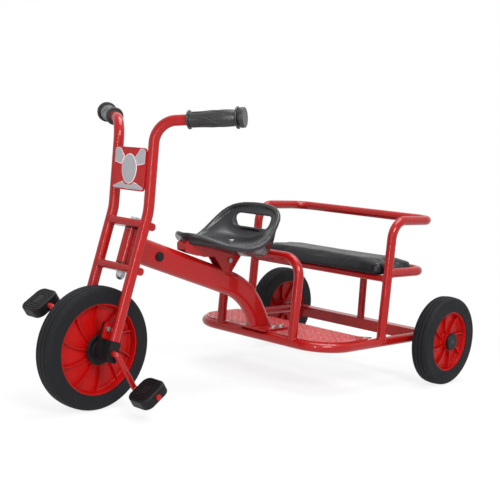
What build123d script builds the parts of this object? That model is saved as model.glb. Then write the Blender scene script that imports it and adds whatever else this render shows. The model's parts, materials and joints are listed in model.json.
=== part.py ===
"""Toddler tricycle with a driver's seat, a passenger bench and two rear wheels.

Millimetres. +X points forward, +Y to the rider's left, +Z up from the floor. The origin lies on
the floor under the middle of the vehicle's length. Sizes named ..._ahead are distances forward
of the rear axle; in the fork they are distances forward of the line through the fork legs.
"""

from build123d import *
from math import cos, radians, sin, sqrt, tan
import os

# Whole vehicle
wheelbase = 859.0
rear_track = 542.0
tube_d = 22.0
tube_r = tube_d / 2
shaft_d = 12.0
running_gap = 0.05  # radial gap of a shaft in its bore
seat_gap = 0.3  # gap between pieces of different bodies that lie face to face
cut_overrun = 5.0

# Front wheel and rear wheels
front_wheel_r = 127.0
front_tyre_w = 45.0
front_rim_r = 94.0
front_ribs = 10
front_first_rib = 17.0  # degrees; outer end of the first rib, from forward over up
front_rib_sweep = 15.0  # degrees that a swirl rib turns from hub to rim
rear_wheel_r = 109.0
rear_tyre_w = 43.0
rear_rim_r = 73.0
rear_ribs = 8
rear_first_rib = 35.0
rear_rib_sweep = 16.0
tyre_shoulder = 9.0
tyre_crown = 1.0
tyre_groove_d = 1.2
tyre_groove_w = 2.0
tyre_groove_shares = (-0.8, 0, 0.8)
rim_inset = 2.0  # the rim ends this far inside the tyre's flanks
rim_wall = 6.5
rim_lip = 3.0
rim_web = 12.0
rim_hub_web = 16.0
rim_web_r = 3.0
rim_rib_w = 2.8
rim_rib_rise = 8.0
hub_r = 22.0
front_hub_w = 38.0
front_disc_r = 31.5
front_disc_w = 4.0
front_ring_r = 22.0
front_ring_w = 4.0
disc_edge_share = 0.45
rear_cap_r = 21.0
rear_cap_w = 7.0
rear_washer_r = 14.0

# Fork, in its own frame: origin at the front axle, height along the steering axis
rake = 15.5  # degrees
steering_offset = 18.0  # the legs' line lies this far ahead of the steering axis
leg_half = 56.0
leg_foot_height = 24.0
leg_bend_height = 291.0
leg_bend_r = 100.0
bar_corner_ahead = 42.0
bar_corner_height = 466.0
bar_corner_r = 48.0
bar_end_ahead = -35.0
bar_end_half = 214.0
bar_end_height = 506.0
crossbar_h = 16.0
crossbar_depth = 40.0
lower_crossbar_height = 171.0
upper_crossbar_height = 264.0

# Head tube on the frame and the pivot bolt through it
head_tube_d = 32.0
head_tube_wall = 3.0
bushing_flange = 2.0
bushing_depth = 14.0
bolt_head_r = 10.0
bolt_head_h = 6.0
bolt_tail = 6.0
nut_r = 10.0
nut_h = 8.0

# Grips
grip_length = 116.0
grip_r = 15.0
grip_swell_r = 17.0
grip_inner_flange_r = 19.0
grip_outer_flange_r = 22.0
grip_end_r = 20.0
grip_flange_w = 4.0
grip_neck_w = 3.5
grip_end_w = 9.0
grip_edge_r = 1.8
grip_cap = 5.0

# Number plate, blank
plate_half = 50.0
plate_h = 87.0
plate_t = 3.0
plate_corner_r = 8.0
plate_rise = 82.0  # centre of the plate above the legs' bend, along the legs

# Fork ends and bearing blocks
fork_end_w = 46.0
fork_end_t = 5.0
fork_end_top = 58.0
fork_end_weld = 1.0  # how far the lug's outer face reaches into the leg's line
fork_end_corner_r = 7.0
fork_bolt_spacing = 30.0
fork_bolt_height = 45.0
fork_bolt_r = 3.0
fork_bolt_head_r = 5.0
fork_bolt_head_h = 4.0
block_half = 12.5
block_inner = 28.5  # inner face of the bearing block, from the vehicle's middle
block_outer = 64.0
block_bottom = 19.0
block_edge_r = 4.0
boss_r = 20.0
boss_outer = 45.0
ear_w = 44.0
ear_t = 8.0

# Crankshaft and pedals
crank_arm = 91.0
crank_half = 76.0  # middle of the crank arm, from the vehicle's middle
crank_bend_r = 10.0
crank_angle = 237.0  # degrees; where the left pedal stands, from forward over up
spindle_end = 151.0
pedal_w = 60.0
pedal_l = 66.0
pedal_t = 24.0
pedal_inner = 87.0
pedal_tilt = 35.0
pedal_corner_r = 17.0
pedal_edge_r = 4.0
pedal_groove_w = 2.4
pedal_groove_d = 1.6
pedal_groove_insets = (6.0, 12.0, 18.0)

# Main tube, a flat oval section
main_tube_h = 55.0
main_tube_w = 30.0
main_slope = 17.3  # degrees that it falls towards the rear
main_bend_ahead = 429.6
main_bend_height = 221.3
main_bend_r = 170.0
main_foot_ahead = 369.0
plug_ahead = 711.0
plug_r = 10.0
plug_rise = 3.0

# Base loop, footboard and axle beam
loop_front_ahead = 388.0
loop_gap = 21.5  # from the loop's outside to the rear tyre
loop_height = 112.0
loop_corner_r = 81.0
board_t = 3.0
board_rear_ahead = 235.0
gusset_leg = 22.0
beam_size = 28.0
beam_gap = 17.5  # from the beam's end to the rear tyre

# Foot of the main tube on the footboard
flange_t = 4.0
flange_half = 44.0
flange_front_ahead = 404.0
flange_rear_ahead = 318.0
flange_bolt_inset = 12.0
flange_bolt_r = 4.0
flange_bolt_head_r = 7.0
flange_bolt_head_h = 5.0
channel_front_depth = 22.0
channel_rear_depth = 36.0
channel_t = 3.0
channel_front_ahead = 372.0
channel_rear_ahead = 322.0
channel_corner_r = 9.0

# Hoop behind the driver's legs
hoop_inset = 100.0  # from the loop's side to the hoop's side
hoop_lean = 10.0
hoop_height = 305.0
hoop_corner_r = 45.0

# Support rail: the two uprights and the backrest rail
upright_foot_ahead = 184.0
upright_top_ahead = 172.0
rail_height = 400.0
rail_rear_ahead = 10.0
rail_corner_r = 40.0
rail_shoulder_r = 45.0

# Bench
bench_height = 276.0
bench_rear_ahead = 32.0
bench_corner_r = 36.0
bench_tube_d = 16.0
bench_front_height = 262.0
post_d = 19.0
post_side = 12.0
post_bend_height = 232.0
post_bend_r = 30.0
pad_gap = 3.0  # from the pad's end to the bench rail
pad_t = 34.0
pad_corner_r = 20.0
pad_edge_r = 10.0
pad_front_ahead = 196.0
pad_rear_ahead = 52.0
bench_board_t = 8.0
bench_board_inset = 8.0

# Driver's seat. Its outlines are shares of its length from the back, of its half width and of its
# height
seat_hoop_gap = 9.0  # from the hoop forward to the seat's back
seat_length = 245.0
seat_half = 115.0
seat_h = 126.0
seat_lift = 28.0  # from the main tube up to the seat's lowest point
seat_foot_share = 0.42
seat_bottom_r = 7.0
seat_rim_r = 6.0
seat_outer_shares = (
    (0.01, ((0.939, 0), (0.898, 0.148), (0.792, 0.365), (0.612, 0.678), (0.449, 0.852), (0.335, 0.817),
            (0.261, 0.478), (0.249, 0))),
    (0.36, ((0.992, 0), (0.951, 0.157), (0.841, 0.391), (0.661, 0.730), (0.465, 0.965), (0.253, 0.878),
            (0.163, 0.522), (0.139, 0))),
    (1.05, ((1.0, 0), (0.959, 0.165), (0.849, 0.4), (0.669, 0.748), (0.449, 1.0), (0.065, 0.8),
            (0.008, 0.504), (-0.012, 0))),
)
seat_inner_shares = (
    (0.24, ((0.931, 0), (0.882, 0.104), (0.784, 0.261), (0.604, 0.557), (0.449, 0.765), (0.318, 0.696),
            (0.245, 0.435), (0.233, 0))),
    (1.05, ((0.939, 0), (0.890, 0.122), (0.792, 0.296), (0.612, 0.609), (0.441, 0.809), (0.155, 0.643),
            (0.098, 0.435), (0.082, 0))),
)
seat_rim_shares = ((1.012, 0.33), (0.988, 0.4), (0.906, 0.444), (0.722, 0.427), (0.518, 0.387),
                   (0.351, 0.411), (0.171, 0.70), (0.033, 0.97), (-0.073, 1.12))
seat_under_shares = ((-0.073, 0), (0.294, 0.02), (0.498, 0.1), (0.661, 0.2), (0.804, 0.28), (0.927, 0.32),
                     (1.012, 0.33))
seat_pan_shares = ((1.069, 0.427), (0.906, 0.411), (0.702, 0.339), (0.498, 0.290), (0.294, 0.282),
                   (0.008, 0.290))
seat_crown_shares = ((1.087, 0.52), (0.939, 0.78), (0.643, 1.0), (0, 1.055))
slot_half = 58.0
slot_h = 28.0
slot_corner_r = 12.0
slot_rise = 81.0  # middle of the slot above the seat's lowest point

# Seat bracket. Its outline is in shares of the seat's length from the back and of the seat's lift
bracket_half = 13.0
bracket_t = 3.0
bracket_reach = 12.0  # how far its outline runs on into the seat, where the seat cuts it off
bracket_lower_shares = ((0.261, 0.25), (0.392, -1.3), (0.494, -1.1), (0.608, 0.107), (0.743, 0.107),
                        (0.890, 0.393), (0.976, 0.643), (0.984, 1.2))
bracket_upper_shares = ((0.927, 1.6), (0.804, 1.5), (0.661, 1.25), (0.498, 0.85), (0.261, 0.36))
seat_screw_share = 0.359  # place of the screw in the seat, along its length
seat_screw_r = 3.0
seat_screw_head_r = 6.5
seat_screw_head_h = 3.0
bracket_bolt_share = 0.42
bracket_bolt_drop = 7.0
bracket_bolt_head_r = 5.5
bracket_bolt_head_h = 3.5

# Places in the vehicle's own frame
rear_axle_x = -(wheelbase + front_wheel_r - rear_wheel_r) / 2
front_axle_x = rear_axle_x + wheelbase
tyre_inner_face = rear_track / 2 - rear_tyre_w / 2
loop_half = tyre_inner_face - loop_gap - tube_r
beam_half = tyre_inner_face - beam_gap
hoop_half = loop_half - hoop_inset
seat_rear_ahead = loop_front_ahead - hoop_lean + tube_r + seat_hoop_gap
pad_half = loop_half - tube_r - pad_gap
board_top = loop_height + tube_r + board_t
steering_rake = radians(rake)
up = Vector(-sin(steering_rake), 0, cos(steering_rake))
forward = Vector(cos(steering_rake), 0, sin(steering_rake))
fork_plane = Plane(origin=(front_axle_x, 0, front_wheel_r), x_dir=forward, z_dir=up)


def at(ahead, side, height):
    """A point given by its distance forward of the rear axle."""
    return Vector(rear_axle_x + ahead, side, height)


def in_fork(shape):
    return fork_plane.location * shape


def mirrored(shape):
    return shape.mirror(Plane.XZ)


def bent_tube(points, radii, diameter):
    """A round tube along straight runs that arcs join."""
    path = FilletPolyline(*points, radius=radii)
    section = Plane(origin=path @ 0, z_dir=path % 0) * Circle(diameter / 2)
    return sweep(section, path=path)


def rod(start, end, radius):
    """A plain cylinder between two points."""
    start, end = Vector(*start), Vector(*end)
    return extrude(Plane(origin=start, z_dir=end - start) * Circle(radius), amount=(end - start).length)


def across(shape):
    """Turns a shape made along Z so that it lies along the vehicle's width."""
    return Rot(X=-90) * shape


# Wheels


def tyre(outer_r, inner_r, width):
    half = width / 2
    flat = half - tyre_shoulder
    crown = ThreePointArc((outer_r - tyre_crown, flat), (outer_r, 0), (outer_r - tyre_crown, -flat))
    flank = (outer_r - tyre_crown - tyre_shoulder, half)
    corner = RadiusArc(flank, (outer_r - tyre_crown, flat), tyre_shoulder)
    side = Polyline((outer_r - tyre_crown - tyre_shoulder, -half), (inner_r, -half), (inner_r, half), flank)
    section = make_face([corner, crown, corner.mirror(Plane.XZ), side])
    for share in tyre_groove_shares:
        groove = Pos(outer_r, share * flat) * Rectangle(2 * (tyre_crown + tyre_groove_d), tyre_groove_w)
        section -= groove
    return across(revolve(Plane.XZ * section, Axis.Z))


def swirl_rib(inner_r, outer_r, sweep, height):
    """One rib that leaves the hub radially and curves to the rim, standing on both faces of the web."""
    turn = radians(sweep)
    end = (outer_r * cos(turn), outer_r * sin(turn))
    line = offset(TangentArc((inner_r, 0), end, tangent=(1, 0)), amount=rim_rib_w / 2)
    return Rot(Z=-sweep) * extrude(make_face(line), amount=height / 2, both=True)


def rim_disc(rim_r, width, hub_w, bore_r):
    """The rim's turned form: a ring that thins to a lip, a web that thickens inwards, and the hub."""
    face = (
        (bore_r, hub_w / 2),
        (hub_r, hub_w / 2),
        (hub_r, rim_hub_web / 2),
        (rim_r - rim_wall, rim_web / 2),
        (rim_r - rim_lip, width / 2),
        (rim_r, width / 2),
    )
    back = [(radius, -side) for radius, side in reversed(face)]
    section = make_face(Polyline(*face, *back, close=True))
    inside = section.vertices().filter_by(lambda v: hub_r - rim_wall < v.X < rim_r - rim_lip)
    feet = [v for v in inside if abs(v.Y) < min(width, hub_w) / 2]
    section = fillet(feet, rim_web_r)
    return revolve(Plane.XZ * section, Axis.Z)


def rim(rim_r, tyre_w, hub_w, ribs, first_rib, sweep, bore_r):
    disc = rim_disc(rim_r, tyre_w - 2 * rim_inset, hub_w, bore_r)
    height = rim_web + 2 * rim_rib_rise
    rib = swirl_rib(hub_r - rim_wall / 2, rim_r - rim_lip, sweep, height)
    swirl = [Rot(Z=first_rib + number * 360 / ribs) * rib for number in range(ribs)]
    # the ribs turn from forward over up, which is the other way round about the wheel's own axis
    return across((disc + swirl).mirror(Plane.XZ))


def round_cap(radius, width, foot):
    """A disc along Z, standing at the height of its foot, with its outer edge rounded."""
    cap = Pos(0, 0, foot) * Cylinder(radius, width, align=(Align.CENTER, Align.CENTER, Align.MIN))
    return fillet(cap.edges().group_by(Axis.Z)[-1], width * disc_edge_share)


def wheel_cap(discs, foot, bore_r):
    """Discs of given radius and width stacked outwards from the wheel's hub."""
    cap = []
    for radius, width in discs:
        cap.append(round_cap(radius, width, foot))
        foot += width
    return across(cap[0] + cap[1:] - Cylinder(bore_r, 2 * (foot + cut_overrun)))


def front_wheel():
    centre = Pos(front_axle_x, 0, front_wheel_r)
    bore_r = shaft_d / 2 + running_gap
    discs = ((front_disc_r, front_disc_w), (front_ring_r, front_ring_w))
    disc = wheel_cap(discs, front_hub_w / 2, bore_r)
    return {
        "front_tyre": centre * tyre(front_wheel_r, front_rim_r, front_tyre_w),
        "front_rim": centre
        * rim(front_rim_r, front_tyre_w, front_hub_w, front_ribs, front_first_rib, front_rib_sweep, bore_r),
        "front_hub_discs": centre * Compound(children=[disc, mirrored(disc)]),
    }


def rear_wheel(side):
    centre = Pos(rear_axle_x, side * rear_track / 2, rear_wheel_r)
    bore_r = shaft_d / 2 + running_gap
    cap = wheel_cap(((rear_cap_r, rear_cap_w),), rear_tyre_w / 2, bore_r)
    cap = cap if side > 0 else mirrored(cap)
    name = "left" if side > 0 else "right"
    return {
        "rear_tyre_" + name: centre * tyre(rear_wheel_r, rear_rim_r, rear_tyre_w),
        "rear_rim_" + name: centre
        * rim(rear_rim_r, rear_tyre_w, rear_tyre_w, rear_ribs, rear_first_rib, rear_rib_sweep, bore_r),
        "rear_cap_" + name: centre * cap,
    }


# Fork and handlebar


def leg_points(side):
    half = side * leg_half
    return [
        (0, half, leg_foot_height),
        (0, half, leg_bend_height),
        (bar_corner_ahead, half, bar_corner_height),
        (bar_end_ahead, side * bar_end_half, bar_end_height),
    ]


def fork_leg(side):
    return bent_tube(leg_points(side), [leg_bend_r, bar_corner_r], tube_d)


def crossbar(height, legs):
    bar = extrude(
        Plane(origin=(-steering_offset / 2, 0, height), x_dir=(1, 0, 0), z_dir=(0, 1, 0))
        * SlotOverall(crossbar_depth, crossbar_h),
        amount=leg_half,
        both=True,
    )
    hole = Pos(-steering_offset, 0, height) * Cylinder(shaft_d / 2, 2 * crossbar_h)
    return bar - legs - hole


def pivot_bolt():
    top = upper_crossbar_height + crossbar_h / 2
    end = lower_crossbar_height - crossbar_h / 2 - nut_h - bolt_tail
    shank = rod((-steering_offset, 0, end), (-steering_offset, 0, top), shaft_d / 2)
    head = Pos(-steering_offset, 0, top) * extrude(RegularPolygon(bolt_head_r, 6), amount=bolt_head_h)
    return shank + head


def acorn_nut():
    top = lower_crossbar_height - crossbar_h / 2
    nut = Pos(-steering_offset, 0, top - nut_h) * extrude(RegularPolygon(nut_r, 6), amount=nut_h)
    dome = Pos(-steering_offset, 0, top - nut_h) * Sphere(nut_r * cos(radians(30)))
    dome -= Pos(-steering_offset, 0, top) * Box(
        4 * nut_r, 4 * nut_r, 2 * nut_h, align=(Align.CENTER, Align.CENTER, Align.CENTER)
    )
    bolt = rod(
        (-steering_offset, 0, top - nut_h - bolt_tail), (-steering_offset, 0, top + cut_overrun), shaft_d / 2
    )
    return nut + dome - bolt


def grip_body():
    """The moulded grip as a turned form, with its flanges and its swell."""
    end = grip_length - grip_end_w
    flange = end - grip_neck_w - grip_flange_w
    swell = Spline(
        (grip_r, grip_flange_w), (grip_r, flange / 3), (grip_swell_r, 2 * flange / 3), (grip_r, flange)
    )
    foot = Polyline(
        (grip_r, grip_flange_w), (grip_inner_flange_r, grip_flange_w), (grip_inner_flange_r, 0), (0, 0)
    )
    head = Polyline(
        (0, 0),
        (0, grip_length),
        (grip_end_r, grip_length),
        (grip_end_r, end),
        (grip_r, end),
        (grip_r, flange + grip_flange_w),
        (grip_outer_flange_r, flange + grip_flange_w),
        (grip_outer_flange_r, flange),
        (grip_r, flange),
    )
    section = make_face([swell, foot, head])
    rims = section.vertices().filter_by(lambda v: v.X > grip_swell_r + grip_edge_r / 2)
    return revolve(Plane.XZ * fillet(rims, grip_edge_r), Axis.Z)


def grip(side):
    corner, end = (Vector(*p) for p in leg_points(side)[2:])
    along = (end - corner).normalized()
    start = end - along * (grip_length - grip_cap)
    return Plane(origin=start, z_dir=along).location * grip_body()


def number_plate():
    lean = Vector(bar_corner_ahead, 0, bar_corner_height - leg_bend_height).normalized()
    ahead = Vector(lean.Z, 0, -lean.X)
    seat = sqrt(tube_r**2 - (leg_half - plate_half) ** 2)
    centre = Vector(0, 0, leg_bend_height) + lean * plate_rise + ahead * seat
    face = Plane(origin=centre, x_dir=(0, 1, 0), z_dir=ahead) * RectangleRounded(
        2 * plate_half, plate_h, plate_corner_r
    )
    return extrude(face, amount=plate_t)


def fork_end_faces():
    """Distances of the lug's inner and outer face from the vehicle's middle."""
    outer = leg_half - tube_r + fork_end_weld
    return outer - fork_end_t, outer


def flat_across(width, bottom, top, corner_r):
    """A rounded outline in the plane across the axle, between two heights."""
    middle = (bottom + top) / 2
    return Plane(origin=(0, 0, middle), x_dir=(1, 0, 0), z_dir=(0, -1, 0)) * RectangleRounded(
        width, top - bottom, corner_r
    )


def fork_end(leg):
    """The flat lug welded inside the left leg's foot."""
    inner, outer = fork_end_faces()
    outline = flat_across(fork_end_w, leg_foot_height, fork_end_top, fork_end_corner_r)
    lug = Pos(0, outer, 0) * extrude(outline, amount=outer - inner)
    return lug - leg - fork_bolt_holes(inner - cut_overrun, outer + cut_overrun)


def fork_bolt_holes(start, end):
    height = fork_bolt_height
    spots = (-fork_bolt_spacing / 2, fork_bolt_spacing / 2)
    return [rod((spot, start, height), (spot, end, height), fork_bolt_r) for spot in spots]


def bearing_block():
    """The left bearing: a block below the leg's foot, a round boss, and an ear that the lug's bolts hold."""
    ear_outer = fork_end_faces()[0]
    outline = flat_across(2 * block_half, -block_bottom, leg_foot_height, block_edge_r)
    core = Pos(0, block_outer, 0) * extrude(outline, amount=block_outer - block_inner)
    boss = rod((0, block_inner, 0), (0, boss_outer, 0), boss_r)
    ear = Pos(0, ear_outer, 0) * extrude(
        flat_across(ear_w, -block_bottom / 2, fork_end_top, fork_end_corner_r), amount=ear_t
    )
    bore = rod((0, 0, 0), (0, block_outer + cut_overrun, 0), shaft_d / 2 + running_gap)
    # where the boss passes under the lug and the foot, it is cut to their lower edge
    cover = Pos(0, ear_outer, leg_foot_height) * Box(
        4 * boss_r, block_outer, fork_end_top, align=(Align.CENTER, Align.MIN, Align.MIN)
    )
    return core + boss + ear - bore - cover - fork_bolt_holes(0, ear_outer + cut_overrun)


def fork_bolts():
    """The left lug's two bolts; they end inside the ear."""
    height = fork_bolt_height
    outer = fork_end_faces()[1]
    top = outer + fork_bolt_head_h
    shanks = fork_bolt_holes(outer - fork_end_t - ear_t, outer)
    spots = (-fork_bolt_spacing / 2, fork_bolt_spacing / 2)
    heads = [rod((spot, outer, height), (spot, top, height), fork_bolt_head_r) for spot in spots]
    return [shank + head for shank, head in zip(shanks, heads)]


def fork():
    left, right = fork_leg(1), fork_leg(-1)
    legs = left + right
    lug, block, bolts = fork_end(left), bearing_block(), fork_bolts()
    pieces = {
        "fork_leg_left": left,
        "fork_leg_right": right,
        "upper_crossbar": crossbar(upper_crossbar_height, legs),
        "lower_crossbar": crossbar(lower_crossbar_height, legs),
        "pivot_bolt": pivot_bolt(),
        "acorn_nut": acorn_nut(),
        "number_plate": number_plate(),
        "grip_left": grip(1) - left,
        "grip_right": grip(-1) - right,
        "fork_end_left": lug,
        "fork_end_right": mirrored(lug),
        "bearing_block_left": block,
        "bearing_block_right": mirrored(block),
        "fork_end_bolts": Compound(children=bolts + [mirrored(bolt) for bolt in bolts]),
    }
    return {name: in_fork(piece) for name, piece in pieces.items()}


# Crankshaft and pedals


def crank_frame():
    """The crank's plane: X along the left arm, Y along the axle."""
    angle = radians(crank_angle)
    return Plane(
        origin=(front_axle_x, 0, front_wheel_r),
        x_dir=(cos(angle), 0, sin(angle)),
        z_dir=(-sin(angle), 0, cos(angle)),
    )


def crankshaft():
    points = [
        (-crank_arm, -spindle_end),
        (-crank_arm, -crank_half),
        (0, -crank_half),
        (0, crank_half),
        (crank_arm, crank_half),
        (crank_arm, spindle_end),
    ]
    shaft = bent_tube([(x, y, 0) for x, y in points], [crank_bend_r] * 4, shaft_d)
    return crank_frame().location * shaft


def pedal_ring(inset, width):
    """A rounded band that follows the pedal's outline, a given distance inside it."""
    outer, inner = (
        RectangleRounded(pedal_l - 2 * gap, pedal_w - 2 * gap, max(pedal_corner_r - gap, pedal_edge_r / 2))
        for gap in (inset, inset + width)
    )
    return outer - inner


def pedal_body():
    body = extrude(RectangleRounded(pedal_l, pedal_w, pedal_corner_r), amount=pedal_t / 2, both=True)
    rims = body.edges().group_by(Axis.Z)
    body = fillet(rims[0] + rims[-1], pedal_edge_r)
    for inset in pedal_groove_insets:
        band = extrude(pedal_ring(inset, pedal_groove_w), amount=pedal_groove_d + cut_overrun)
        tread = Pos(0, 0, pedal_t / 2 - pedal_groove_d) * band
        body -= [tread, tread.mirror(Plane.XY)]
    return body - rod((0, -pedal_w, 0), (0, pedal_w, 0), shaft_d / 2 + running_gap)


def pedal(side):
    angle = radians(crank_angle)
    centre = Vector(
        front_axle_x + side * crank_arm * cos(angle),
        side * (pedal_inner + pedal_w / 2),
        front_wheel_r + side * crank_arm * sin(angle),
    )
    return Pos(centre) * Rot(Y=pedal_tilt) * pedal_body()


# Frame


def platform_loop():
    front = beam_size / 2
    points = [
        at(front, loop_half, loop_height),
        at(loop_front_ahead, loop_half, loop_height),
        at(loop_front_ahead, -loop_half, loop_height),
        at(front, -loop_half, loop_height),
    ]
    return bent_tube(points, [loop_corner_r] * 2, tube_d)


def footboard():
    """The chequered plate on the loop, with its front corners round like the loop's."""
    front = rear_axle_x + loop_front_ahead
    rear = rear_axle_x + board_rear_ahead
    middle = ((front + rear) / 2, 0, loop_height + tube_r)
    outline = Plane(origin=middle) * Rectangle(front - rear, 2 * loop_half)
    outline = fillet(outline.vertices().group_by(Axis.X)[-1], loop_corner_r)
    return extrude(outline, amount=board_t)


def board_gusset(side):
    corner = at(board_rear_ahead, side * (loop_half - tube_r / 2), loop_height + tube_r)
    outline = make_face(
        Polyline(
            (corner.X, corner.Y),
            (corner.X - gusset_leg, corner.Y),
            (corner.X, corner.Y - side * gusset_leg),
            close=True,
        )
    )
    plate = extrude(outline, amount=board_t)
    return Pos(0, 0, corner.Z) * plate


def axle_beam():
    beam = Pos(at(0, 0, rear_wheel_r)) * Box(beam_size, 2 * beam_half, beam_size)
    return beam - Pos(at(0, 0, rear_wheel_r)) * across(Cylinder(shaft_d / 2, 3 * beam_half))


def rear_axle():
    half = rear_track / 2 + rear_tyre_w / 2 + rear_cap_w
    axle = rod(at(0, -half, rear_wheel_r), at(0, half, rear_wheel_r), shaft_d / 2)
    inner = rear_track / 2 - rear_tyre_w / 2 - seat_gap
    for side in (1, -1):
        axle += rod(at(0, side * beam_half, rear_wheel_r), at(0, side * inner, rear_wheel_r), rear_washer_r)
    return axle


def main_tube_path():
    slope = radians(main_slope)
    front_ahead = wheelbase - steering_offset
    front = at(front_ahead, 0, main_bend_height + (front_ahead - main_bend_ahead) * tan(slope))
    bend = at(main_bend_ahead, 0, main_bend_height)
    drop = (main_bend_height - board_top) / (main_bend_ahead - main_foot_ahead)
    foot_ahead = main_foot_ahead - main_tube_h / drop
    foot = at(foot_ahead, 0, main_bend_height - drop * (main_bend_ahead - foot_ahead))
    return FilletPolyline(front, bend, foot, radius=main_bend_r)


def main_tube_top(ahead):
    """Height of the main tube's top line, on its straight part."""
    slope = radians(main_slope)
    return main_bend_height + (ahead - main_bend_ahead) * tan(slope) + main_tube_h / 2 / cos(slope)


def main_tube(head):
    path = main_tube_path()
    section = Plane(origin=path @ 0, x_dir=(0, 1, 0), z_dir=path % 0) * RectangleRounded(
        main_tube_w, main_tube_h, main_tube_w / 2 - running_gap
    )
    tube = sweep(section, path=path)
    floor = Pos(rear_axle_x + main_foot_ahead, 0, board_top + flange_t) * Box(
        2 * main_bend_r, 2 * main_tube_w, 2 * main_tube_h, align=(Align.CENTER, Align.CENTER, Align.MAX)
    )
    block = Box(
        2 * head_tube_d, 2 * main_tube_w, 2 * main_tube_h, align=(Align.MIN, Align.CENTER, Align.CENTER)
    )
    middle = (lower_crossbar_height + upper_crossbar_height) / 2
    return tube - floor - in_fork(Pos(-steering_offset, 0, middle) * block) - head


def head_tube_span():
    bottom = lower_crossbar_height + crossbar_h / 2 + seat_gap + bushing_flange
    top = upper_crossbar_height - crossbar_h / 2 - seat_gap - bushing_flange
    return bottom, top


def head_tube():
    bottom, top = head_tube_span()
    axis = (-steering_offset, 0)
    outer = rod((*axis, bottom), (*axis, top), head_tube_d / 2)
    bore = rod((*axis, bottom - cut_overrun), (*axis, top + cut_overrun), head_tube_d / 2 - head_tube_wall)
    return in_fork(outer), in_fork(outer - bore)


def head_bushings():
    bottom, top = head_tube_span()
    bushings = []
    for edge, outward in ((bottom, -1), (top, 1)):
        axis = (-steering_offset, 0)
        sleeve = rod((*axis, edge - outward * bushing_depth), (*axis, edge), head_tube_d / 2 - head_tube_wall)
        flange = rod((*axis, edge), (*axis, edge + outward * bushing_flange), head_tube_d / 2)
        bore = rod(
            (*axis, edge - outward * (bushing_depth + cut_overrun)),
            (*axis, edge + outward * (bushing_flange + cut_overrun)),
            shaft_d / 2 + running_gap,
        )
        bushings.append(in_fork(sleeve + flange - bore))
    return Compound(children=bushings)


def tube_plug():
    height = main_bend_height + (plug_ahead - main_bend_ahead) * tan(radians(main_slope))
    return rod(
        at(plug_ahead, main_tube_w / 2, height), at(plug_ahead, main_tube_w / 2 + plug_rise, height), plug_r
    )


def foot_flange():
    front, rear = rear_axle_x + flange_front_ahead, rear_axle_x + flange_rear_ahead
    centre = ((front + rear) / 2, 0, board_top)
    outline = RectangleRounded(front - rear, 2 * flange_half, flange_bolt_inset / 2)
    plate = extrude(Plane(origin=centre) * outline, amount=flange_t)
    for spot in flange_bolt_spots():
        plate -= Pos(spot) * Cylinder(flange_bolt_r, 2 * cut_overrun)
    return plate


def flange_bolt_spots():
    """The four bolts through the flange and the footboard; the front pair stands behind the loop."""
    rows = (channel_rear_ahead + flange_bolt_inset, channel_front_ahead - flange_bolt_inset)
    half = flange_half - flange_bolt_inset
    return [at(ahead, side * half, board_top) for ahead in rows for side in (1, -1)]


def flange_bolts():
    bolts = []
    for spot in flange_bolt_spots():
        top = board_top + flange_t
        bottom = loop_height + tube_r - channel_t
        shank = rod((spot.X, spot.Y, bottom), (spot.X, spot.Y, top), flange_bolt_r)
        hexagon = RegularPolygon(flange_bolt_head_r, 6)
        head = Pos(spot.X, spot.Y, top) * extrude(hexagon, amount=flange_bolt_head_h)
        bolts.append(shank + head)
    return Compound(children=bolts)


def under_channel():
    """A dark pressed channel below the footboard that the flange bolts hold, deeper at the rear."""
    front, rear = rear_axle_x + channel_front_ahead, rear_axle_x + channel_rear_ahead
    top = loop_height + tube_r

    def wedge(half, drop):
        profile = Polyline(
            (front, top - drop), (front, top - channel_front_depth), (rear, top - channel_rear_depth),
            (rear, top - drop), close=True,
        )
        return extrude(Plane.XZ * make_face(profile), amount=half, both=True)

    outer = wedge(flange_half, 0)
    sides = outer.edges().filter_by(lambda e: abs(e.center().Y) > flange_half / 2)
    outer = fillet([side for side in sides if side.length > front - rear], channel_corner_r)
    channel = outer - Pos(0, 0, -channel_t) * wedge(flange_half - channel_t, 0)
    for spot in flange_bolt_spots():
        channel -= Pos(spot.X, spot.Y, top) * Cylinder(flange_bolt_r, 2 * channel_rear_depth)
    return channel


def hoop(loop):
    foot = loop_height + tube_r / 2
    points = [
        at(loop_front_ahead, hoop_half, foot),
        at(loop_front_ahead - hoop_lean, hoop_half, hoop_height),
        at(loop_front_ahead - hoop_lean, -hoop_half, hoop_height),
        at(loop_front_ahead, -hoop_half, foot),
    ]
    return bent_tube(points, [hoop_corner_r] * 2, tube_d) - loop


def support_rail_points():
    foot = loop_height + tube_r / 2
    left = [
        at(upright_foot_ahead, loop_half, foot),
        at(upright_top_ahead, loop_half, rail_height),
        at(rail_rear_ahead, loop_half, rail_height),
    ]
    right = [Vector(p.X, -p.Y, p.Z) for p in reversed(left)]
    return left + right


def support_rail(loop):
    radii = [rail_shoulder_r, rail_corner_r, rail_corner_r, rail_shoulder_r]
    return bent_tube(support_rail_points(), radii, tube_d) - loop


def upright_ahead(height):
    """Distance of an upright's middle ahead of the rear axle, at a height."""
    share = (height - loop_height) / (rail_height - loop_height)
    return upright_foot_ahead + share * (upright_top_ahead - upright_foot_ahead)


def bench_rail(rail):
    front = upright_ahead(bench_height)
    points = [
        at(front, loop_half, bench_height),
        at(bench_rear_ahead, loop_half, bench_height),
        at(bench_rear_ahead, -loop_half, bench_height),
        at(front, -loop_half, bench_height),
    ]
    return bent_tube(points, [bench_corner_r] * 2, tube_d) - rail


def bench_front_tube(rail):
    front = upright_ahead(bench_front_height)
    left, right = (at(front, side * loop_half, bench_front_height) for side in (1, -1))
    return rod(right, left, bench_tube_d / 2) - rail


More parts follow.
